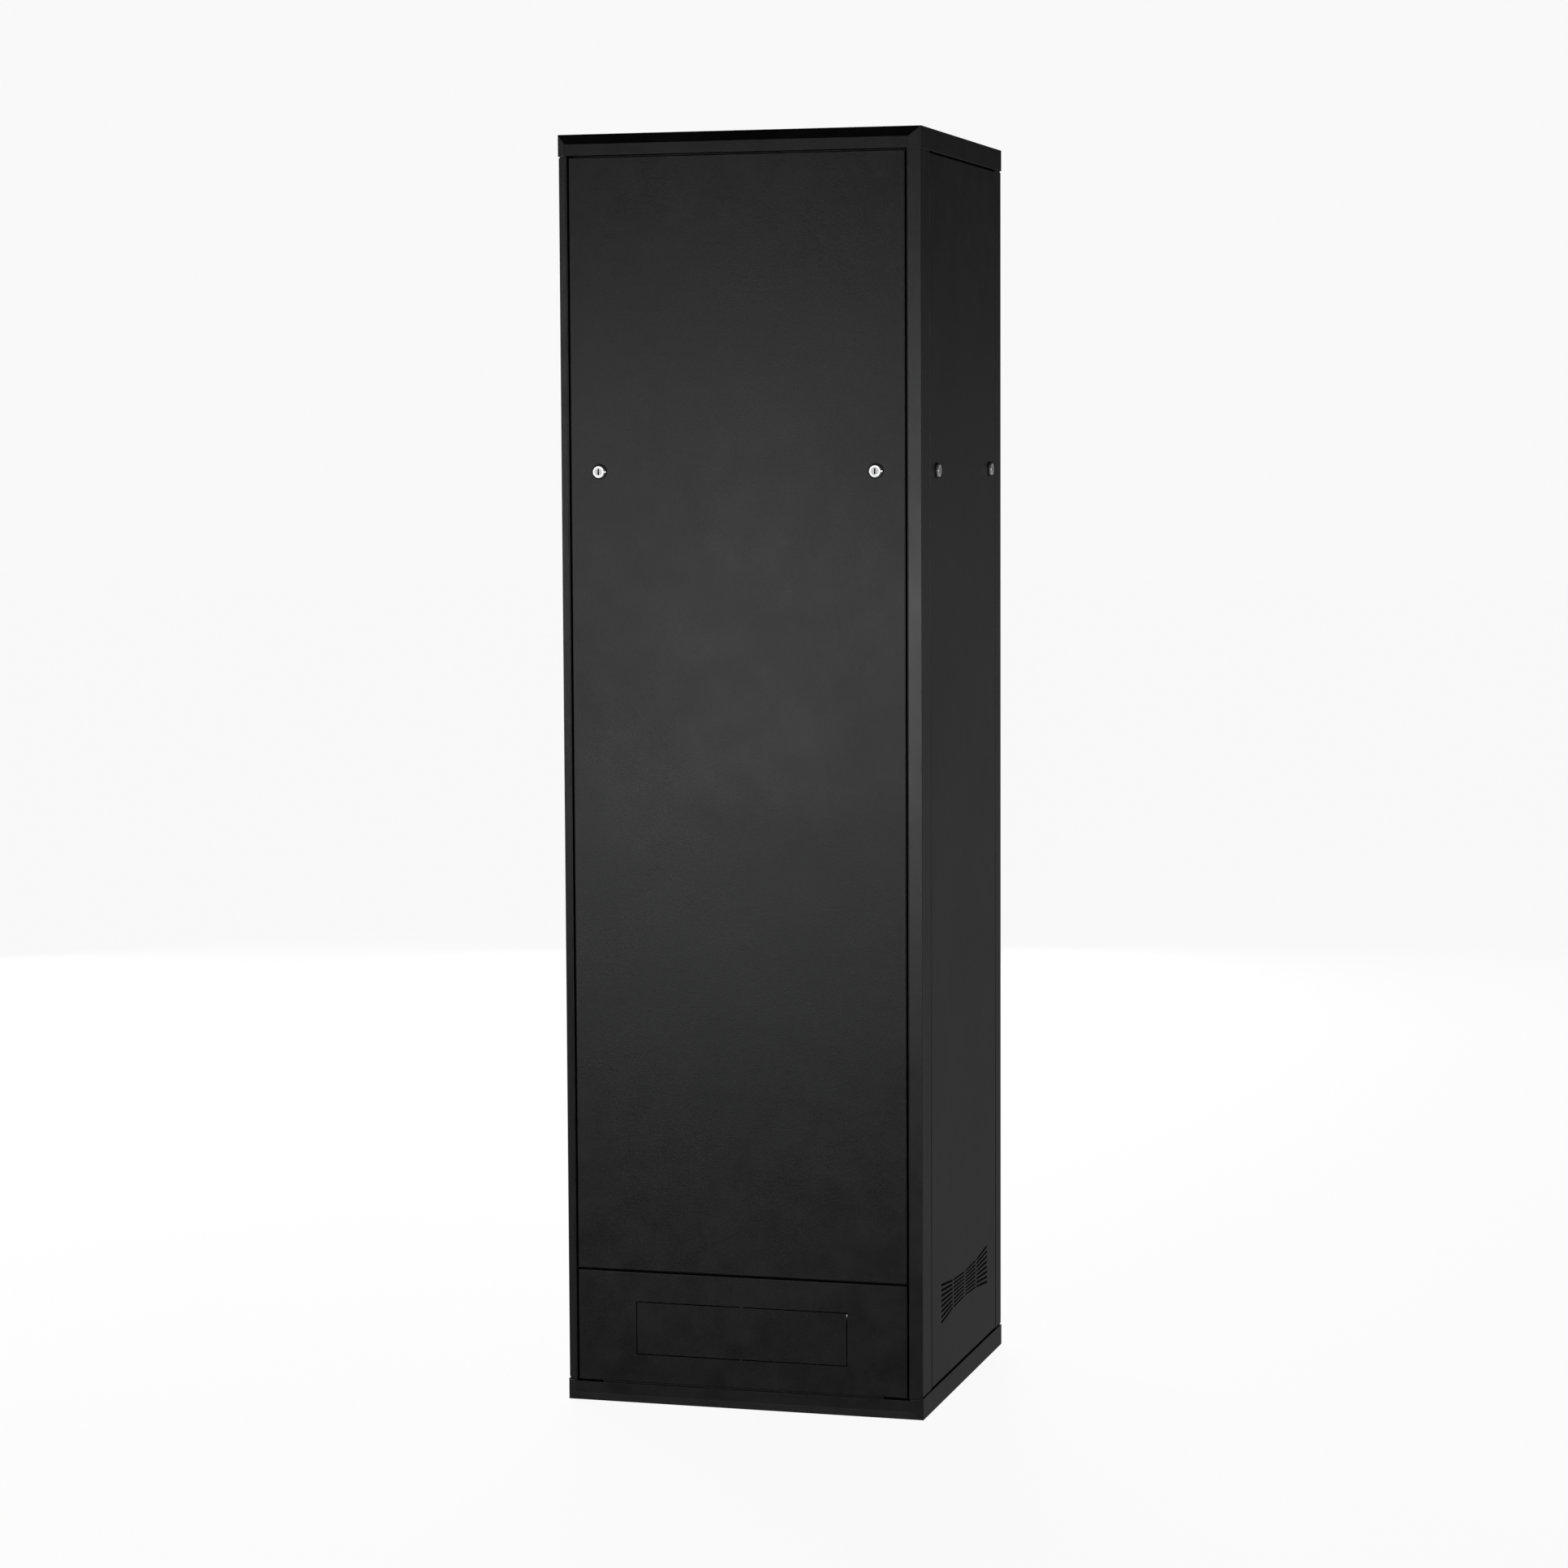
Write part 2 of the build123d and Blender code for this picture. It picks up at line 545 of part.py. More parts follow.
# Keepers that the quarter-turn cams catch behind
keeper_low = LOCK_HEIGHT - KEEPER_HEIGHT / 2
keeper_high = LOCK_HEIGHT + KEEPER_HEIGHT / 2
rear_side = block(LAND_X - KEEPER_THICKNESS, LAND_X, POST_REAR_Y - SIDE_KEEPER_LENGTH,
                  POST_REAR_Y, keeper_low, keeper_high)
front_side = block(LAND_X - KEEPER_THICKNESS, LAND_X, -POST_FRONT_Y,
                   SIDE_KEEPER_LENGTH - POST_FRONT_Y, keeper_low, keeper_high)
rear_keeper = block(POST_INNER_X - REAR_KEEPER_LENGTH, POST_INNER_X, LAND_Y - KEEPER_THICKNESS,
                    LAND_Y, keeper_low, keeper_high)
nodes["side_keepers"] = Part() + [
    rear_side, flip_x(rear_side), front_side, flip_x(front_side)
]
nodes["rear_keepers"] = Part() + [rear_keeper, flip_x(rear_keeper)]

# Cross bars between the posts, behind the joints above and below the end panels
transom = cross_bar(LOWER_PANEL_TOP - CROSS_BAR_BELOW, REAR_PANEL_LOW + CROSS_BAR_ABOVE)
lintel = cross_bar(BODY_TOP - LINTEL_HEIGHT, BODY_TOP)
nodes["cross_bars"] = Part() + [transom, lintel, flip_y(lintel)]

# Ledges on the floor ring that carry the lift-off panels
ledge_top = PANEL_LOW - EASE / 2
side_ledge_y = SIDE_PANEL_Y - LEDGE_SHORTER
side_ledge = block(BODY_X - PANEL_DEPTH, BODY_X - PANEL_DEPTH + LEDGE_WIDTH,
                   SIDE_MIDDLE - side_ledge_y, SIDE_MIDDLE + side_ledge_y, BASE_HEIGHT, ledge_top)
rear_ledge_x = END_PANEL_X - LEDGE_SHORTER
rear_ledge = block(-rear_ledge_x, rear_ledge_x, BODY_Y - PANEL_DEPTH,
                   BODY_Y - PANEL_DEPTH + LEDGE_WIDTH, BASE_HEIGHT, PANEL_LOW)
nodes["panel_ledges"] = Part() + [side_ledge, flip_x(side_ledge), rear_ledge]

# Side panels
side_panel = to_side(tray(SIDE_PANEL_Y, PANEL_LOW, PANEL_HIGH))
for slot in louvres(BODY_X - PANEL_SHEET, BODY_X):
    side_panel = side_panel - slot
stiff_low = LOUVRE_CENTRE + LOUVRE_HALF_END + STIFFENER_MARGIN
stiff_high = PANEL_HIGH - STIFFENER_MARGIN
side_stiffener = to_side(hat(stiff_low, stiff_high, BODY_Y - PANEL_SHEET))
side_reach = POST_REAR_Y - SIDE_KEEPER_LENGTH + CAM_LAP - SIDE_MIDDLE - SIDE_LOCK_Y
housing, plug, cam = lock_parts(side_reach)
housings = Part()
hole = rod(LOCK_THREAD_RADIUS + FIT, (0, BODY_Y, 0), (0, -1, 0), PANEL_SHEET)
for sy, end in ((-1, "front"), (1, "rear")):
    place = Pos(0, sy * SIDE_LOCK_Y, LOCK_HEIGHT)
    side_panel = side_panel - place * to_side(hole)
    housings += place * to_side(housing)
    nodes["lock_plug_right_" + end] = place * to_side(plug)
    nodes["lock_cam_right_" + end] = place * to_side(cam)
    nodes["lock_plug_left_" + end] = flip_x(place * to_side(plug))
    nodes["lock_cam_left_" + end] = flip_x(place * to_side(cam))
mat_y = LOUVRE_HALF_LENGTH + FILTER_MARGIN
mat_z = LOUVRE_HALF_END + LOUVRE_SLOT_END / 2 + FILTER_MARGIN
mat = block(BODY_X - PANEL_SHEET - FILTER_THICKNESS, BODY_X - PANEL_SHEET,
            SIDE_MIDDLE - mat_y, SIDE_MIDDLE + mat_y, LOUVRE_CENTRE - mat_z, LOUVRE_CENTRE + mat_z)
nodes["louvre_filter_right"] = mat
nodes["louvre_filter_left"] = flip_x(mat)
nodes["side_panel_right"] = side_panel
nodes["side_panel_left"] = flip_x(side_panel)
nodes["side_stiffener_right"] = side_stiffener
nodes["side_stiffener_left"] = flip_x(side_stiffener)
nodes["lock_housings_right"] = housings
nodes["lock_housings_left"] = flip_x(housings)

# Rear panel
rear_panel = tray(END_PANEL_X, REAR_PANEL_LOW, PANEL_HIGH)
rear_reach = POST_INNER_X - REAR_KEEPER_LENGTH + CAM_LAP - REAR_LOCK_X
housing, plug, cam = lock_parts(rear_reach)
housings = Part()
for sx, side in ((-1, "left"), (1, "right")):
    place = Pos(sx * REAR_LOCK_X, 0, LOCK_HEIGHT)
    rear_panel = rear_panel - place * hole
    housings += place * housing
    nodes["lock_plug_rear_" + side] = place * plug
    nodes["lock_cam_rear_" + side] = place * cam
nodes["rear_panel"] = rear_panel
nodes["rear_stiffener"] = hat(REAR_PANEL_LOW + STIFFENER_MARGIN, stiff_high, BODY_Y - PANEL_SHEET)
nodes["lock_housings_rear"] = housings

# Lower rear panel, fixed, with a knock-out held by two small bridges
lower_panel = tray(END_PANEL_X, PANEL_LOW, LOWER_PANEL_TOP)
half_x = KNOCKOUT_WIDTH / 2
half_z = KNOCKOUT_HEIGHT / 2
bridge = KNOCKOUT_BRIDGE / 2
score = KNOCKOUT_SCORE
for sx in (-1, 1):
    side = sorted((sx * half_x, sx * (half_x - score)))
    lower_panel = lower_panel - block(*side, BODY_Y - PANEL_SHEET, BODY_Y,
                                      KNOCKOUT_CENTRE - half_z, KNOCKOUT_CENTRE + half_z)
    run = sorted((sx * half_x, sx * bridge))
    for z in (KNOCKOUT_CENTRE - half_z, KNOCKOUT_CENTRE + half_z - score):
        lower_panel = lower_panel - block(*run, BODY_Y - PANEL_SHEET, BODY_Y, z, z + score)
nodes["lower_rear_panel"] = lower_panel

# Front door: folded frame round a glass pane
window_x = END_PANEL_X - WINDOW_STILE
window_low = PANEL_LOW + WINDOW_RAIL
window_high = PANEL_HIGH - WINDOW_RAIL
door_back = -BODY_Y + PANEL_DEPTH
door = flip_y(tray(END_PANEL_X, PANEL_LOW, PANEL_HIGH))
lap = GLASS_LAP
collar_x = window_x + lap + PANEL_SHEET + EASE
collar_low = window_low - lap - PANEL_SHEET - EASE
collar_high = window_high + lap + PANEL_SHEET + EASE
face_y = -BODY_Y + PANEL_SHEET
collar = block(-collar_x, collar_x, face_y, face_y + WINDOW_FLANGE, collar_low, collar_high)
door = door + collar - block(
    -collar_x + PANEL_SHEET, collar_x - PANEL_SHEET, face_y, face_y + WINDOW_FLANGE,
    collar_low + PANEL_SHEET, collar_high - PANEL_SHEET,
)
door = door - block(-window_x, window_x, -BODY_Y, face_y, window_low, window_high)
glass_front = face_y + GASKET_THICKNESS
glass_back = glass_front + GLASS_THICKNESS


def pane(y0, y1):
    """Slab the size of the glass between two depths."""
    return block(-window_x - lap, window_x + lap, y0, y1, window_low - lap, window_high + lap)


def picture_frame(y0, y1, clear):
    """Glass-sized slab with the window cut out, clear of its edge by a margin."""
    return pane(y0, y1) - block(-window_x - clear, window_x + clear, y0, y1,
                                window_low - clear, window_high + clear)


nodes["door_glass"] = pane(glass_front, glass_back)
nodes["door_gasket"] = picture_frame(face_y, glass_front, EASE)
nodes["glass_retainer"] = picture_frame(glass_back, glass_back + RETAINER_THICKNESS, 0)

# Hinge pins on the frame, and the blocks in the door that turn on them
pivot = (-END_PANEL_X + PIVOT_INSET, -BODY_Y + PIVOT_INSET)
lower_pin = rod(PIN_RADIUS, (*pivot, BASE_HEIGHT), (0, 0, 1), PIN_LENGTH)
lower_pin = lower_pin + rod(PIN_COLLAR_RADIUS, (*pivot, BASE_HEIGHT), (0, 0, 1), GAP - EASE)
upper_pin = rod(PIN_RADIUS, (*pivot, BODY_TOP), (0, 0, -1), PIN_LENGTH)
upper_pin = upper_pin + rod(PIN_COLLAR_RADIUS, (*pivot, BODY_TOP), (0, 0, -1), GAP - EASE)
nodes["hinge_pin_lower"] = lower_pin
nodes["hinge_pin_upper"] = upper_pin
pin_holes = rod(PIN_RADIUS + FIT, (*pivot, BASE_HEIGHT), (0, 0, 1), PIN_LENGTH + EASE)
pin_holes += rod(PIN_RADIUS + FIT, (*pivot, BODY_TOP), (0, 0, -1), PIN_LENGTH + EASE)
block_x = -END_PANEL_X + PANEL_SHEET
block_low = PANEL_LOW + PANEL_SHEET
block_high = PANEL_HIGH - PANEL_SHEET
blocks = block(block_x, block_x + HINGE_BLOCK_SIZE, face_y, face_y + HINGE_BLOCK_SIZE,
               block_low, block_low + HINGE_BLOCK_HEIGHT)
blocks += block(block_x, block_x + HINGE_BLOCK_SIZE, face_y, face_y + HINGE_BLOCK_SIZE,
                block_high - HINGE_BLOCK_HEIGHT, block_high)
nodes["hinge_blocks"] = blocks - pin_holes
door = door - pin_holes

# Door handle: escutcheon, lever with its spindle, latch cam and key barrel
handle_x = END_PANEL_X - WINDOW_STILE / 2
escutcheon_y = -BODY_Y - ESCUTCHEON_THICKNESS
half = ESCUTCHEON_WIDTH / 2
escutcheon = block(handle_x - half, handle_x + half, escutcheon_y, -BODY_Y,
                   HANDLE_HEIGHT - ESCUTCHEON_BELOW, HANDLE_HEIGHT + ESCUTCHEON_ABOVE)
escutcheon = fillet(escutcheon.edges().filter_by(Axis.Y), half / 2)
cam_front = -LAND_Y + KEEPER_THICKNESS + EASE
cam_back = cam_front + DOOR_CAM_THICKNESS
boss_y = escutcheon_y - LEVER_BOSS_HEIGHT
inward = (0, 1, 0)
lever = rod(LEVER_BOSS_RADIUS, (handle_x, boss_y, HANDLE_HEIGHT), inward, LEVER_BOSS_HEIGHT - EASE / 2)
half = LEVER_WIDTH / 2
grip = block(handle_x - half, handle_x + half, boss_y, boss_y + LEVER_THICKNESS,
             HANDLE_HEIGHT - LEVER_LENGTH, HANDLE_HEIGHT)
grip = fillet(grip.edges().filter_by(Axis.Y).sort_by(Axis.Z)[:2], half * 0.8)
grip = fillet(grip.faces().sort_by(Axis.Y)[0].edges().sort_by(Axis.Z)[:-1], LEVER_THICKNESS / 4)
lever = lever + grip
lever = lever + rod(SPINDLE_RADIUS, (handle_x, boss_y, HANDLE_HEIGHT), inward, cam_back - boss_y)
nodes["door_lever"] = lever
bore = rod(SPINDLE_RADIUS + FIT, (handle_x, escutcheon_y, HANDLE_HEIGHT), inward, PANEL_DEPTH)
escutcheon = escutcheon - bore
door = door - bore
barrel_z = HANDLE_HEIGHT + BARREL_RISE
barrel = rod(BARREL_RADIUS, (handle_x, escutcheon_y - BARREL_STAND, barrel_z), inward,
             BARREL_STAND + ESCUTCHEON_THICKNESS + PANEL_DEPTH / 2)
barrel = barrel - block(
    handle_x - KEY_SLOT_WIDTH / 2, handle_x + KEY_SLOT_WIDTH / 2,
    escutcheon_y - BARREL_STAND, escutcheon_y - BARREL_STAND + KEY_SLOT_DEPTH,
    barrel_z - KEY_SLOT_LENGTH / 2, barrel_z + KEY_SLOT_LENGTH / 2,
)
nodes["door_key_barrel"] = barrel
bore = rod(BARREL_RADIUS + FIT, (handle_x, escutcheon_y, barrel_z), inward, PANEL_DEPTH)
nodes["door_escutcheon"] = escutcheon - bore
nodes["door_frame"] = door - bore
keeper_inner = handle_x + DOOR_CAM_WIDTH / 2 + DOOR_KEEPER_CLEAR
cam_reach = keeper_inner + CAM_LAP - handle_x
half = DOOR_CAM_WIDTH / 2
door_cam = block(handle_x - half, handle_x + half, cam_front, cam_back,
                 HANDLE_HEIGHT, HANDLE_HEIGHT + cam_reach)
door_cam = door_cam + rod(half, (handle_x, cam_front, HANDLE_HEIGHT), inward, DOOR_CAM_THICKNESS)
nodes["door_latch_cam"] = door_cam - rod(SPINDLE_RADIUS, (handle_x, cam_front, HANDLE_HEIGHT),
                                         inward, DOOR_CAM_THICKNESS)
nodes["door_keeper"] = block(
    keeper_inner, POST_INNER_X, -LAND_Y, -LAND_Y + KEEPER_THICKNESS,
    HANDLE_HEIGHT - DOOR_KEEPER_HEIGHT / 2, HANDLE_HEIGHT + DOOR_KEEPER_HEIGHT / 2,
)

for name, shape in nodes.items():
    export_step(shape, "parts/" + name + ".step")
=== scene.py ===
"""Looks of a free-standing 19 inch network rack cabinet.

Laid out as a Blender add-on and run as a script. Lengths are in metres.
"""

import json
import math

import bpy
import numpy as np
from mathutils import Matrix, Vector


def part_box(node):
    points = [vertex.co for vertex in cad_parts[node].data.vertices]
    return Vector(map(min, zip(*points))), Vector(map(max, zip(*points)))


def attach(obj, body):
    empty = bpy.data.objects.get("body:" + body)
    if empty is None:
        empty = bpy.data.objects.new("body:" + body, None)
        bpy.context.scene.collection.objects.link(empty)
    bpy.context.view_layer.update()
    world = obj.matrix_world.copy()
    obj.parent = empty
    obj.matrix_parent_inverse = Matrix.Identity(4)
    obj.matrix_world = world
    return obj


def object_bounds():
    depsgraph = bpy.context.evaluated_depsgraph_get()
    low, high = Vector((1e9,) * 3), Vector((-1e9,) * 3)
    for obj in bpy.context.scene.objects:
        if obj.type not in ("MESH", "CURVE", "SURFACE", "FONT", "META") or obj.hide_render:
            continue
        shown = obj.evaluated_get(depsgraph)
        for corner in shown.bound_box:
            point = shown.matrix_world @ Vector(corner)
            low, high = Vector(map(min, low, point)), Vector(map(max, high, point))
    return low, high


bl_info = {
    "name": "Network Rack Cabinet",
    "version": (1, 0, 0),
    "blender": (4, 5, 0),
    "location": "View3D > Sidebar > Cabinet",
    "description": "Finishes, lock rings, stage and camera for a sheet-steel rack cabinet",
    "category": "Object",
}

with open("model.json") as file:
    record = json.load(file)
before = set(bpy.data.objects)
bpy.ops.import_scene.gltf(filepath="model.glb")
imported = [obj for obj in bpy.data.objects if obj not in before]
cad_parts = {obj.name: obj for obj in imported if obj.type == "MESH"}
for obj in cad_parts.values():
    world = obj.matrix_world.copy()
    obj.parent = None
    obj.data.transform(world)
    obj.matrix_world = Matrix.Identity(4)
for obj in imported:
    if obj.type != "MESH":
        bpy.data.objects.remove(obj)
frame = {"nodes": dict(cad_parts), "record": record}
CAD_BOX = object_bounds()
RECORD = frame["record"]

# Rack rails: height of one unit, how many units there are, and the fine ticks beside the holes,
# which lie between two distances from the middle and may stand a little past the last unit
RACK_UNIT = 0.04445
RACK_UNITS = 42
TICK_INNER = 0.2395
TICK_OUTER = 0.2465
TICK_WIDTH = 0.0007
TICK_SLACK = 0.001
TICK_COLOUR = (0.55, 0.55, 0.56)

# Quarter-turn locks: the plane that rear locks lie past, half the width and height of the key slot
# and the colour of its painted shade, and the share of a plug's radius at which its rim starts to
# brighten
REAR_LOCKS_PAST = 0.29
SLOT_HALF_WIDTH = 0.0013
SLOT_HALF_HEIGHT = 0.0046
SLOT_SHADE = (0.01, 0.01, 0.01)
PLUG_EDGE = 0.94

# Half the width of the studio floor
FLOOR_HALF = 40.0

# Camera: width of its sensor in millimetres, and how far it sees
SENSOR_WIDTH = 36.0
CLIP_END = 200.0

# Room light in reflections: the upward parts of a direction between which it fades, and what is
# left of it overhead; the rearward parts between which it fades, and what is left at the rear
ROOM_UPWARD = (-0.04, 0.085)
ROOM_OVERHEAD = 0.1
ROOM_REARWARD = (-0.8, 0.5)
ROOM_REAR = 0.15

# Softboxes: place, width, height, and share of the softbox power
SOFTBOXES = {
    "softbox_rear": ((1.44, 5.2, 0.95), 1.7, 1.7, 0.64),
    "softbox_left": ((-5.4, 1.7, 1.0), 1.4, 1.1, 0.78),
    "softbox_front": ((1.5, -5.6, 1.5), 2.0, 2.4, 1.7),
    "softbox_right": ((4.5, -4.1, 1.3), 2.0, 2.2, 2.0),
    "softbox_side": ((-3.6, 5.2, 1.3), 1.4, 2.0, 0.55),
}

# Quarter-turn locks by name: the sheet each is in, its body, and the way it faces
LOCKS = {
    "rear_left": ("rear_panel", "rear_cover", (0, 1, 0)),
    "rear_right": ("rear_panel", "rear_cover", (0, 1, 0)),
    "left_front": ("side_panel_left", "side_left", (-1, 0, 0)),
    "left_rear": ("side_panel_left", "side_left", (-1, 0, 0)),
    "right_front": ("side_panel_right", "side_right", (1, 0, 0)),
    "right_rear": ("side_panel_right", "side_right", (1, 0, 0)),
}


# ---------------------------------------------------------------- settings


class CabinetFinishes(bpy.types.PropertyGroup):
    """Colours and surface values of the cabinet's finishes."""

    coat: bpy.props.FloatVectorProperty(
        name="Powder coat", description="Colour of the textured black coat",
        subtype="COLOR", size=3, default=(0.0060, 0.0060, 0.0063), min=0, max=1)
    coat_roughness: bpy.props.FloatProperty(
        name="Coat roughness", description="Roughness of the powder coat",
        default=0.325, min=0, max=1, subtype="FACTOR")
    coat_grain: bpy.props.FloatProperty(
        name="Coat grain", description="Depth of the fine texture in the powder coat",
        default=0.00006, min=0, unit="LENGTH")
    rail: bpy.props.FloatVectorProperty(
        name="Rails", description="Colour of the smooth coat on the inner rails",
        subtype="COLOR", size=3, default=(0.014, 0.014, 0.0145), min=0, max=1)
    chrome: bpy.props.FloatVectorProperty(
        name="Lock plating", description="Colour of the bright plating on the locks",
        subtype="COLOR", size=3, default=(0.86, 0.86, 0.87), min=0, max=1)
    zinc: bpy.props.FloatVectorProperty(
        name="Zinc", description="Colour of the zinc-plated small steel parts",
        subtype="COLOR", size=3, default=(0.50, 0.51, 0.53), min=0, max=1)
    glass: bpy.props.FloatVectorProperty(
        name="Door glass", description="Tint of the door pane",
        subtype="COLOR", size=3, default=(0.20, 0.215, 0.225), min=0, max=1)
    plastic: bpy.props.FloatVectorProperty(
        name="Handle", description="Colour of the moulded handle",
        subtype="COLOR", size=3, default=(0.010, 0.010, 0.0105), min=0, max=1)
    rubber: bpy.props.FloatVectorProperty(
        name="Rubber", description="Colour of the seal and of the rings under the locks",
        subtype="COLOR", size=3, default=(0.006, 0.006, 0.006), min=0, max=1)
    mat: bpy.props.FloatVectorProperty(
        name="Filter mat", description="Colour of the dust filter mats behind the louvres",
        subtype="COLOR", size=3, default=(0.0025, 0.0025, 0.0027), min=0, max=1)
    brass: bpy.props.FloatVectorProperty(
        name="Brass", description="Colour of the earth stud",
        subtype="COLOR", size=3, default=(0.72, 0.52, 0.22), min=0, max=1)


class CabinetSizes(bpy.types.PropertyGroup):
    """Sizes of the small pieces that are added to the frame."""

    ring_radius: bpy.props.FloatProperty(
        name="Lock ring radius", description="Outer radius of the ring under each lock",
        default=0.0125, min=0.0105, unit="LENGTH")
    ring_inner: bpy.props.FloatProperty(
        name="Lock ring bore", description="Inner radius of the ring under each lock",
        default=0.0101, min=0.005, unit="LENGTH")
    ring_height: bpy.props.FloatProperty(
        name="Lock ring height", description="How far the ring stands off the sheet",
        default=0.0026, min=0.0002, unit="LENGTH")


class CabinetStage(bpy.types.PropertyGroup):
    """Camera and light."""

    eye: bpy.props.FloatVectorProperty(
        name="Camera place", description="Where the camera stands",
        size=3, subtype="TRANSLATION", default=(-1.80761, 6.45140, 1.55907))
    heading: bpy.props.FloatProperty(
        name="Heading", description="Turn of the camera about the upright axis",
        subtype="ANGLE", default=math.radians(-164.28605))
    tilt: bpy.props.FloatProperty(
        name="Tilt", description="How far the camera looks up from level",
        subtype="ANGLE", default=math.radians(-4.79076))
    roll: bpy.props.FloatProperty(
        name="Roll", description="Turn of the camera about its line of sight",
        subtype="ANGLE", default=math.radians(-0.26995))
    lens: bpy.props.FloatProperty(
        name="Lens", description="Focal length on a 36 mm wide sensor, in millimetres",
        default=92.2306, min=1)
    softbox: bpy.props.FloatProperty(
        name="Softbox power", description="Power of an upright softbox whose share is 1",
        subtype="POWER", default=37.0, min=0)
    ground: bpy.props.FloatVectorProperty(
        name="Floor", description="Colour of the floor",
        subtype="COLOR", size=3, default=(0.07, 0.07, 0.07), min=0, max=1)
    glow: bpy.props.FloatProperty(
        name="Floor glow",
        description="Light given off by the floor, which keeps it pale to its far edge",
        default=0.94, min=0)
    backdrop: bpy.props.FloatProperty(
        name="Backdrop", description="Brightness behind the cabinet as the camera sees it",
        default=0.945, min=0)
    room: bpy.props.FloatProperty(
        name="Room light", description="Brightness of the room at eye level, in front of the door",
        default=0.135, min=0)


# ---------------------------------------------------------------- shader maths


class Signal:
    """A shader value that takes part in sums; each sign adds one Math node."""

    def __init__(self, finish, socket):
        self.finish = finish
        self.socket = socket

    def _sum(self, operation, first, second):
        """One Math node on two values, either of which may be a number."""
        return self.finish.node("ShaderNodeMath", {"operation": operation}, {0: first, 1: second})

    def __add__(self, other):
        return self._sum("ADD", self, other)

    def __radd__(self, other):
        return self._sum("ADD", other, self)

    def __sub__(self, other):
        return self._sum("SUBTRACT", self, other)

    def __rsub__(self, other):
        return self._sum("SUBTRACT", other, self)

    def __mul__(self, other):
        return self._sum("MULTIPLY", self, other)

    def __lt__(self, other):
        return self._sum("LESS_THAN", self, other)

    def __gt__(self, other):
        return self._sum("GREATER_THAN", self, other)

    def __mod__(self, other):
        return self._sum("FLOORED_MODULO", self, other)


class Finish:
    """A node material with one Principled shader, built up from Signals."""

    def __init__(self, name):
        self.material = bpy.data.materials.new(name)
        self.material.use_nodes = True
        self.tree = self.material.node_tree
        self.tree.nodes.clear()
        out = self.tree.nodes.new("ShaderNodeOutputMaterial")
        self.shader = self.tree.nodes.new("ShaderNodeBsdfPrincipled")
        self.tree.links.new(self.shader.outputs[0], out.inputs["Surface"])
        self._place = None

    def plug(self, socket, value):
        """Set a socket to a number, a colour, or the end of a link."""
        if isinstance(value, Signal):
            self.tree.links.new(value.socket, socket)
        elif isinstance(value, (tuple, list)) and len(value) == 3 and socket.type == "RGBA":
            socket.default_value = (*value, 1.0)
        else:
            socket.default_value = value

    def node(self, kind, settings=None, inputs=None, output=0):
        """Add a node, set its settings, fill its sockets and give one output."""
        made = self.tree.nodes.new(kind)
        for key, value in (settings or {}).items():
            setattr(made, key, value)
        for key, value in (inputs or {}).items():
            self.plug(made.inputs[key], value)
        return Signal(self, made.outputs[output])

    def place(self):
        """Object coordinates, in metres."""
        if self._place is None:
            self._place = self.node("ShaderNodeTexCoord", output="Object")
        return self._place

    def axes(self):
        """The three object coordinates one by one."""
        split = self.tree.nodes.new("ShaderNodeSeparateXYZ")
        self.plug(split.inputs[0], self.place())
        return [Signal(self, out) for out in split.outputs]

    def stretched(self, scale):
        """Object coordinates drawn out along the axes."""
        return self.node("ShaderNodeMapping", {}, {"Vector": self.place(), "Scale": scale})

    def noise(self, scale, detail=2.0, roughness=0.5, vector=None):
        """Soft noise between 0 and 1."""
        return self.node("ShaderNodeTexNoise", {}, {
            "Vector": vector or self.place(),
            "Scale": scale, "Detail": detail, "Roughness": roughness,
        })

    def spread(self, value, low, high, floor=0.0, top=1.0):
        """Stretch a band of values to a new range, clamped."""
        return self.node("ShaderNodeMapRange", {"clamp": True}, {
            "Value": value, "From Min": low, "From Max": high, "To Min": floor, "To Max": top,
        })

    def blend(self, factor, first, second):
        """Mix two colours."""
        made = self.tree.nodes.new("ShaderNodeMix")
        made.data_type = "RGBA"
        self.plug(made.inputs[0], factor)
        self.plug(made.inputs[6], first)
        self.plug(made.inputs[7], second)
        return Signal(self, made.outputs[2])

    def size(self, value):
        """A value without its sign."""
        return self.node("ShaderNodeMath", {"operation": "ABSOLUTE"}, {0: value})

    def bump(self, height, distance, strength=1.0, under=None):
        """Raise a surface by a height signal, over another bump when one is given."""
        inputs = {"Height": height, "Distance": distance, "Strength": strength}
        if under is not None:
            inputs["Normal"] = under
        return self.node("ShaderNodeBump", {}, inputs)

    def wear(self, **sockets):
        """Fill the surface shader's sockets, written with low lines for spaces."""
        for key, value in sockets.items():
            self.plug(self.shader.inputs[key.replace("_", " ")], value)
        return self.material


def powder_coat(name, colour, roughness, grain):
    """Fine textured powder coat: grainy, softly clouded, over sheet with a slight wave."""
    coat = Finish(name)
    fine = coat.noise(1500.0, 2.0, 0.6)
    peel = coat.noise(420.0, 1.0)
    wave = coat.noise(3.0, 0.0)
    cloud = coat.noise(22.0, 4.0, 0.6)
    haze = coat.noise(5.5, 2.0)
    relief = coat.bump(wave, 0.0003, 0.45)
    relief = coat.bump(peel, grain * 1.5, 1.0, relief)
    relief = coat.bump(fine, grain, 1.0, relief)
    lift = [min(1.0, c * 1.9) for c in colour]
    return coat.wear(
        Base_Color=coat.blend(coat.spread(cloud, 0.35, 0.7), colour, lift),
        Roughness=roughness + (cloud - 0.5) * 0.09 + (haze - 0.5) * 0.06 + (fine - 0.5) * 0.06,
        Normal=relief,
    )


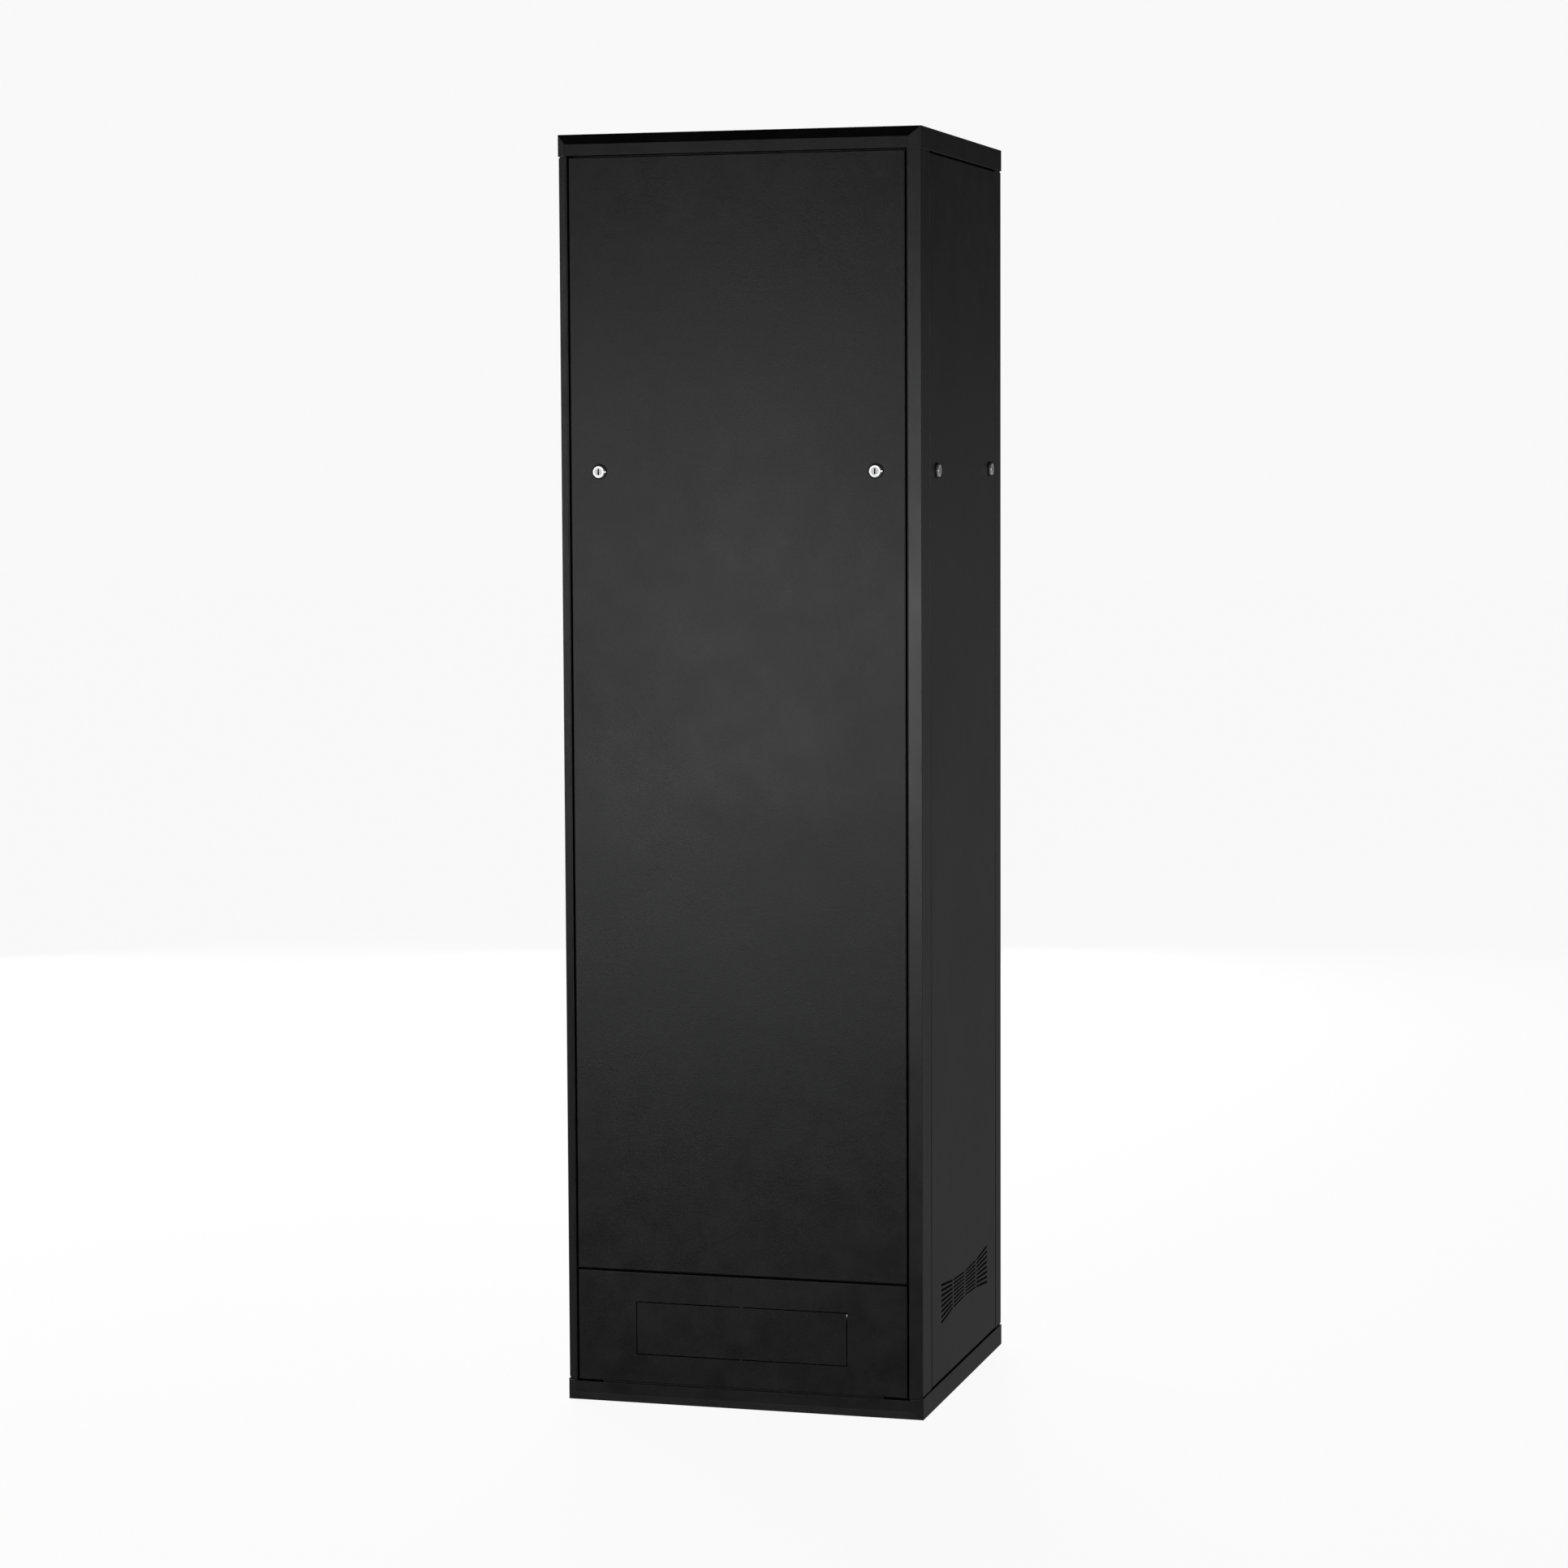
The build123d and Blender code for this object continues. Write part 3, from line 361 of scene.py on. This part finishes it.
def rail_coat(name, colour, low, top):
    """Smooth satin coat with a fine pale tick at each rack unit from low to top."""
    coat = Finish(name)
    x, _, z = coat.axes()
    peel = coat.noise(500.0, 1.0)
    cloud = coat.noise(30.0, 3.0)
    step = (z - low) % RACK_UNIT
    tick = (step < TICK_WIDTH) * (z > low - TICK_SLACK) * (z < top + TICK_SLACK)
    across = coat.size(x)
    tick = tick * (across > TICK_INNER) * (across < TICK_OUTER)
    return coat.wear(
        Base_Color=coat.blend(tick, colour, TICK_COLOUR),
        Roughness=0.38 + (cloud - 0.5) * 0.12,
        Normal=coat.bump(peel, 0.00005, 0.6),
    )


def lock_plating(name, colour, rear, side, middle, radius):
    """Bright plating with a faint polishing swirl.

    Rear is a rear lock's distance from the cabinet's upright middle plane, and its height. Side is
    a side lock's distance from middle, along its panel. Within radius of a lock's axis the plug is
    duller and rougher, and its key slot is painted near black as painted shade inside the slot.
    """
    plate = Finish(name)
    swirl = plate.noise(900.0, 2.0, vector=plate.stretched((1.0, 1.0, 6.0)))
    stain = plate.noise(140.0, 2.0)
    x, y, z = plate.axes()
    behind = y > REAR_LOCKS_PAST
    across = behind * (plate.size(x) - rear[0]) + (1 - behind) * (plate.size(y - middle) - side)
    up = z - rear[1]
    far = across * across + up * up
    plug = plate.spread(far, (radius * PLUG_EDGE) ** 2, radius ** 2, 1.0, 0.0)
    # Key slot: painted near black, as painted shade inside the slot
    slot = (plate.size(across) < SLOT_HALF_WIDTH) * (plate.size(up) < SLOT_HALF_HEIGHT)
    bright = plate.blend(plate.spread(stain, 0.4, 0.75), colour, [c * 0.88 for c in colour])
    dull = plate.blend(plug, bright, [c * 0.78 for c in colour])
    return plate.wear(
        # The key slot takes the colour of the painted shade
        Base_Color=plate.blend(slot, dull, SLOT_SHADE),
        Metallic=0.6,
        Roughness=0.20 + plug * 0.12 + (swirl - 0.5) * 0.08 + (stain - 0.5) * 0.05,
        Normal=plate.bump(swirl, 0.00002, 0.5),
    )


def zinc_plate(name, colour):
    """Zinc plating on pressed steel: cool grey, cloudy and slightly drawn."""
    plate = Finish(name)
    drawn = plate.noise(260.0, 3.0, vector=plate.stretched((1.0, 1.0, 0.15)))
    cloud = plate.noise(90.0, 3.0)
    return plate.wear(
        Base_Color=plate.blend(cloud, [c * 0.78 for c in colour], colour),
        Metallic=1.0,
        Roughness=0.34 + (drawn - 0.5) * 0.18,
        Normal=plate.bump(drawn, 0.00003, 0.5),
    )


def tinted_glass(name, colour):
    """Grey toughened pane: see-through, with a faint roller wave."""
    pane = Finish(name)
    wave = pane.noise(5.0, 0.0, vector=pane.stretched((1.0, 1.0, 4.0)))
    smear = pane.noise(14.0, 4.0, 0.6)
    return pane.wear(
        Base_Color=colour,
        Roughness=pane.spread(smear, 0.5, 0.8, 0.02, 0.07),
        IOR=1.5,
        Transmission_Weight=1.0,
        Normal=pane.bump(wave, 0.0004, 0.15),
    )


def moulded_plastic(name, colour):
    """Spark-eroded grain of a moulded nylon handle."""
    nylon = Finish(name)
    grain = nylon.noise(2200.0, 2.0, 0.7)
    cloud = nylon.noise(60.0, 2.0)
    return nylon.wear(
        Base_Color=nylon.blend(cloud, colour, [c * 1.5 for c in colour]),
        Roughness=0.46 + (grain - 0.5) * 0.14,
        Normal=nylon.bump(grain, 0.00006, 0.8),
    )


def seal_rubber(name, colour):
    """Dull rubber with a dusty bloom."""
    seal = Finish(name)
    bloom = seal.noise(200.0, 4.0, 0.7)
    return seal.wear(
        Base_Color=seal.blend(seal.spread(bloom, 0.5, 0.8), colour, [c * 3.0 for c in colour]),
        Roughness=0.72 + (bloom - 0.5) * 0.2,
        Normal=seal.bump(bloom, 0.00005, 0.6),
    )


def filter_mat(name, colour):
    """Open fibre mat: tangled strands with pores between them, painted darker as painted shade in
    the pores, and a little dust.
    """
    mat = Finish(name)
    strands = mat.noise(900.0, 3.0, 0.7, vector=mat.stretched((1.0, 1.0, 0.35)))
    pores = mat.noise(650.0, 2.0)
    dust = mat.noise(25.0, 4.0, 0.6)
    grey = mat.blend(mat.spread(dust, 0.45, 0.8), colour, [c * 3.5 for c in colour])
    return mat.wear(
        # Pores painted darker: painted shade in the holes between the strands
        Base_Color=mat.blend(mat.spread(pores, 0.45, 0.6), grey, [c * 0.3 for c in colour]),
        Roughness=0.9 + (strands - 0.5) * 0.15,
        Specular_IOR_Level=0.1,
        Normal=mat.bump(strands + pores, 0.0004, 0.9),
    )


def stud_brass(name, colour):
    """Turned brass, slightly dulled."""
    stud = Finish(name)
    turned = stud.noise(1200.0, 1.0, vector=stud.stretched((0.2, 0.2, 3.0)))
    dull = stud.noise(120.0, 3.0)
    return stud.wear(
        Base_Color=stud.blend(dull, colour, [c * 0.7 for c in colour]),
        Metallic=1.0,
        Roughness=0.28 + (dull - 0.5) * 0.2,
        Normal=stud.bump(turned, 0.00003, 0.6),
    )


# ---------------------------------------------------------------- surfaces


def closed_grid(name, points):
    """Mesh on a grid of points that is closed both ways.

    Each square joins a point to its neighbours one step on in each direction, with the last row
    and column joined to the first. The squares are turned round if the volume comes out negative.
    """
    rows, columns = points.shape[:2]
    index = np.arange(rows * columns).reshape(rows, columns)
    right = np.roll(index, -1, axis=1)
    above = np.roll(index, -1, axis=0)
    corner = np.roll(right, -1, axis=0)
    quads = np.stack([index, right, corner, above], axis=-1).reshape(-1, 4)
    flat = points.reshape(-1, 3)
    a, b, c, d = (flat[quads[:, k]] for k in range(4))
    volume = np.einsum("ij,ij->", a, np.cross(b, c)) + np.einsum("ij,ij->", a, np.cross(c, d))
    if volume < 0:
        quads = quads[:, ::-1]
    mesh = bpy.data.meshes.new(name)
    mesh.from_pydata(flat.tolist(), [], quads.tolist())
    mesh.polygons.foreach_set("use_smooth", np.ones(len(quads), dtype=bool))
    mesh.update()
    made = bpy.data.objects.new(name, mesh)
    bpy.context.scene.collection.objects.link(made)
    return made


def turned_ring(name, centre, axis, inner, outer, height, steps=96, section_steps=24, power=0.45):
    """Ring round an axis.

    Its section goes once round a rounded rectangle between two radii: the cosine and the sine of
    the section's angle, each keeping its sign and raised to a power below one. Each point of it is
    carried round the axis: centre + radius * (cos t, sin t) + rise * axis.
    """
    around = np.linspace(0.0, 2.0 * np.pi, steps, endpoint=False)
    section = np.linspace(0.0, 2.0 * np.pi, section_steps, endpoint=False)
    across = np.sign(np.cos(section)) * np.abs(np.cos(section)) ** power
    up = np.sign(np.sin(section)) * np.abs(np.sin(section)) ** power
    radius = (inner + outer) / 2 + across * (outer - inner) / 2
    rise = height / 2 + up * height / 2
    axis = np.asarray(axis, dtype=float)
    side = np.cross(axis, (0.0, 0.0, 1.0))
    side = side / np.linalg.norm(side)
    other = np.cross(axis, side)
    spoke = np.cos(around)[:, None] * side + np.sin(around)[:, None] * other
    points = (np.asarray(centre) + radius[None, :, None] * spoke[:, None, :]
              + rise[None, :, None] * axis)
    return closed_grid(name, points)


# ---------------------------------------------------------------- operators


def finish_table():
    """Each material slot of the record with the finish made for it."""
    look = bpy.context.scene.cabinet_finishes
    low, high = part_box("rack_rail_front_right")
    first = (low[2] + high[2]) / 2 - RACK_UNITS // 2 * RACK_UNIT
    last = first + RACK_UNITS * RACK_UNIT
    low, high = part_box("lock_plug_rear_right")
    radius = (high[0] - low[0]) / 2
    rear = ((low[0] + high[0]) / 2, (low[2] + high[2]) / 2)
    ends = []
    for end in ("front", "rear"):
        low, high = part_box("lock_plug_right_" + end)
        ends.append((low[1] + high[1]) / 2)
    middle = (ends[0] + ends[1]) / 2
    side = (ends[1] - ends[0]) / 2
    makers = {
        "powder_black": (powder_coat, look.coat, look.coat_roughness, look.coat_grain),
        "rail_black": (rail_coat, look.rail, first, last),
        "lock_chrome": (lock_plating, look.chrome, rear, side, middle, radius),
        "zinc_steel": (zinc_plate, look.zinc),
        "door_glass": (tinted_glass, look.glass),
        "seal_rubber": (seal_rubber, look.rubber),
        "filter_mat": (filter_mat, look.mat),
        "handle_plastic": (moulded_plastic, look.plastic),
        "stud_brass": (stud_brass, look.brass),
    }
    return {
        name: maker(name, tuple(colour), *sizes)
        for name, (maker, colour, *sizes) in makers.items()
    }


class CABINET_OT_paint(bpy.types.Operator):
    """Give every part of the cabinet its finish"""

    bl_idname = "cabinet.paint"
    bl_label = "Paint the cabinet"

    def execute(self, context):
        table = finish_table()
        for entry in RECORD["subparts"]:
            part = frame["nodes"][entry["node"]]
            finish = table[entry["material_slot"]]
            if part.material_slots:
                for slot in part.material_slots:
                    slot.material = finish
            else:
                part.data.materials.append(finish)
        return {"FINISHED"}


class CABINET_OT_lock_rings(bpy.types.Operator):
    """Lay a black ring under each quarter-turn lock"""

    bl_idname = "cabinet.lock_rings"
    bl_label = "Add lock rings"

    def execute(self, context):
        sizes = context.scene.cabinet_sizes
        for lock, (sheet, body, way) in LOCKS.items():
            low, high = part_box("lock_plug_" + lock)
            centre = (np.array(low) + np.array(high)) / 2
            face = np.array(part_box(sheet)[1 if sum(way) > 0 else 0])
            along = np.abs(np.array(way, dtype=float))
            centre = centre * (1 - along) + face * along
            ring = turned_ring("lock_ring_" + lock, centre, way,
                               sizes.ring_inner, sizes.ring_radius, sizes.ring_height)
            ring.data.materials.append(bpy.data.materials["seal_rubber"])
            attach(ring, body)
        return {"FINISHED"}


class CABINET_OT_stage(bpy.types.Operator):
    """Set the floor, the light and the camera"""

    bl_idname = "cabinet.stage"
    bl_label = "Set the stage"

    def execute(self, context):
        stage = context.scene.cabinet_stage
        self.floor(stage)
        self.sky(context, stage)
        self.lights(stage)
        self.camera(context, stage)
        context.scene.view_settings.view_transform = "Standard"
        return {"FINISHED"}

    def floor(self, stage):
        """Wide flat floor, level with the lowest point of the cabinet."""
        low = CAD_BOX[0][2]
        mesh = bpy.data.meshes.new("studio_floor")
        signs = ((-1, -1), (1, -1), (1, 1), (-1, 1))
        corners = [(sx * FLOOR_HALF, sy * FLOOR_HALF, low) for sx, sy in signs]
        mesh.from_pydata(corners, [], [(0, 1, 2, 3)])
        ground = bpy.data.objects.new("studio_floor", mesh)
        bpy.context.scene.collection.objects.link(ground)
        ground.visible_glossy = False
        paper = Finish("studio_paper")
        mottle = paper.noise(3.0, 2.0)
        pale = tuple(stage.ground)
        mesh.materials.append(paper.wear(
            Base_Color=paper.blend(mottle, pale, [c * 0.97 for c in pale]),
            Roughness=0.9,
            Emission_Color=(1.0, 1.0, 1.0),
            Emission_Strength=stage.glow,
        ))

    def sky(self, context, stage):
        """White behind the cabinet, as the camera sees it.

        What the cabinet reflects is pale below eye level and towards the door's side, and fades to
        dark overhead and towards the rear.
        """
        world = bpy.data.worlds.new("studio")
        context.scene.world = world
        world.use_nodes = True
        tree = world.node_tree
        tree.nodes.clear()

        def fade(value, low, high, floor, top):
            """Carry a value's band from low to high over to floor to top."""
            made = tree.nodes.new("ShaderNodeMapRange")
            limits = {"From Min": low, "From Max": high, "To Min": floor, "To Max": top}
            for key, limit in limits.items():
                made.inputs[key].default_value = limit
            tree.links.new(value, made.inputs["Value"])
            return made.outputs[0]

        out = tree.nodes.new("ShaderNodeOutputWorld")
        ray = tree.nodes.new("ShaderNodeLightPath")
        way = tree.nodes.new("ShaderNodeTexCoord")
        split = tree.nodes.new("ShaderNodeSeparateXYZ")
        level = tree.nodes.new("ShaderNodeMath")
        level.operation = "MULTIPLY"
        seen = tree.nodes.new("ShaderNodeBackground")
        felt = tree.nodes.new("ShaderNodeBackground")
        seen.inputs["Strength"].default_value = stage.backdrop
        for light in (seen, felt):
            light.inputs["Color"].default_value = (1, 1, 1, 1)
        mix = tree.nodes.new("ShaderNodeMixShader")
        tree.links.new(way.outputs["Generated"], split.inputs[0])
        overhead = stage.room * ROOM_OVERHEAD
        height = fade(split.outputs["Z"], *ROOM_UPWARD, stage.room, overhead)
        depth = fade(split.outputs["Y"], *ROOM_REARWARD, 1.0, ROOM_REAR)
        tree.links.new(height, level.inputs[0])
        tree.links.new(depth, level.inputs[1])
        tree.links.new(level.outputs[0], felt.inputs["Strength"])
        tree.links.new(ray.outputs["Is Camera Ray"], mix.inputs[0])
        tree.links.new(felt.outputs[0], mix.inputs[1])
        tree.links.new(seen.outputs[0], mix.inputs[2])
        tree.links.new(mix.outputs[0], out.inputs["Surface"])

    def lights(self, stage):
        """Upright softboxes, each turned to the cabinet, and none seen through the glass."""
        for name, (spot, wide, tall, share) in SOFTBOXES.items():
            lamp = bpy.data.lights.new(name, "AREA")
            lamp.shape = "RECTANGLE"
            lamp.size = wide
            lamp.size_y = tall
            lamp.energy = stage.softbox * share
            holder = bpy.data.objects.new(name, lamp)
            holder.location = spot
            turn = math.atan2(spot[1], spot[0]) + math.pi / 2
            holder.rotation_euler = (math.pi / 2, 0.0, turn)
            holder.visible_camera = False
            holder.visible_transmission = False
            bpy.context.scene.collection.objects.link(holder)

    def camera(self, context, stage):
        """Camera at its place, turned by heading, tilt and roll."""
        lens = bpy.data.cameras.new("camera")
        lens.lens = stage.lens
        lens.sensor_width = SENSOR_WIDTH
        lens.clip_end = CLIP_END
        holder = bpy.data.objects.new("camera", lens)
        holder.location = stage.eye
        turns = ((stage.heading, "Z"), (math.pi / 2 + stage.tilt, "X"), (stage.roll, "Z"))
        heading, tilt, roll = (Matrix.Rotation(angle, 3, axis) for angle, axis in turns)
        holder.rotation_euler = (heading @ tilt @ roll).to_euler("XYZ")
        context.scene.collection.objects.link(holder)
        context.scene.camera = holder


class CABINET_PT_panel(bpy.types.Panel):
    """Sizes, colours and steps of the cabinet"""

    bl_label = "Rack Cabinet"
    bl_idname = "CABINET_PT_panel"
    bl_space_type = "VIEW_3D"
    bl_region_type = "UI"
    bl_category = "Cabinet"

    def draw(self, context):
        layout = self.layout
        for group in ("cabinet_finishes", "cabinet_sizes", "cabinet_stage"):
            settings = getattr(context.scene, group)
            for key in settings.__annotations__:
                layout.prop(settings, key)
        for step in STEPS:
            layout.operator(step.bl_idname)


GROUPS = {
    "cabinet_finishes": CabinetFinishes,
    "cabinet_sizes": CabinetSizes,
    "cabinet_stage": CabinetStage,
}
STEPS = (CABINET_OT_paint, CABINET_OT_lock_rings, CABINET_OT_stage)


def register():
    for name, group in GROUPS.items():
        bpy.utils.register_class(group)
        setattr(bpy.types.Scene, name, bpy.props.PointerProperty(type=group))
    for step in (*STEPS, CABINET_PT_panel):
        bpy.utils.register_class(step)


def unregister():
    for step in (CABINET_PT_panel, *reversed(STEPS)):
        bpy.utils.unregister_class(step)
    for name, group in GROUPS.items():
        delattr(bpy.types.Scene, name)
        bpy.utils.unregister_class(group)


def main():
    """Register, and build everything in order."""
    register()
    bpy.ops.cabinet.paint()
    bpy.ops.cabinet.lock_rings()
    bpy.ops.cabinet.stage()


if __name__ == "__main__":
    main()
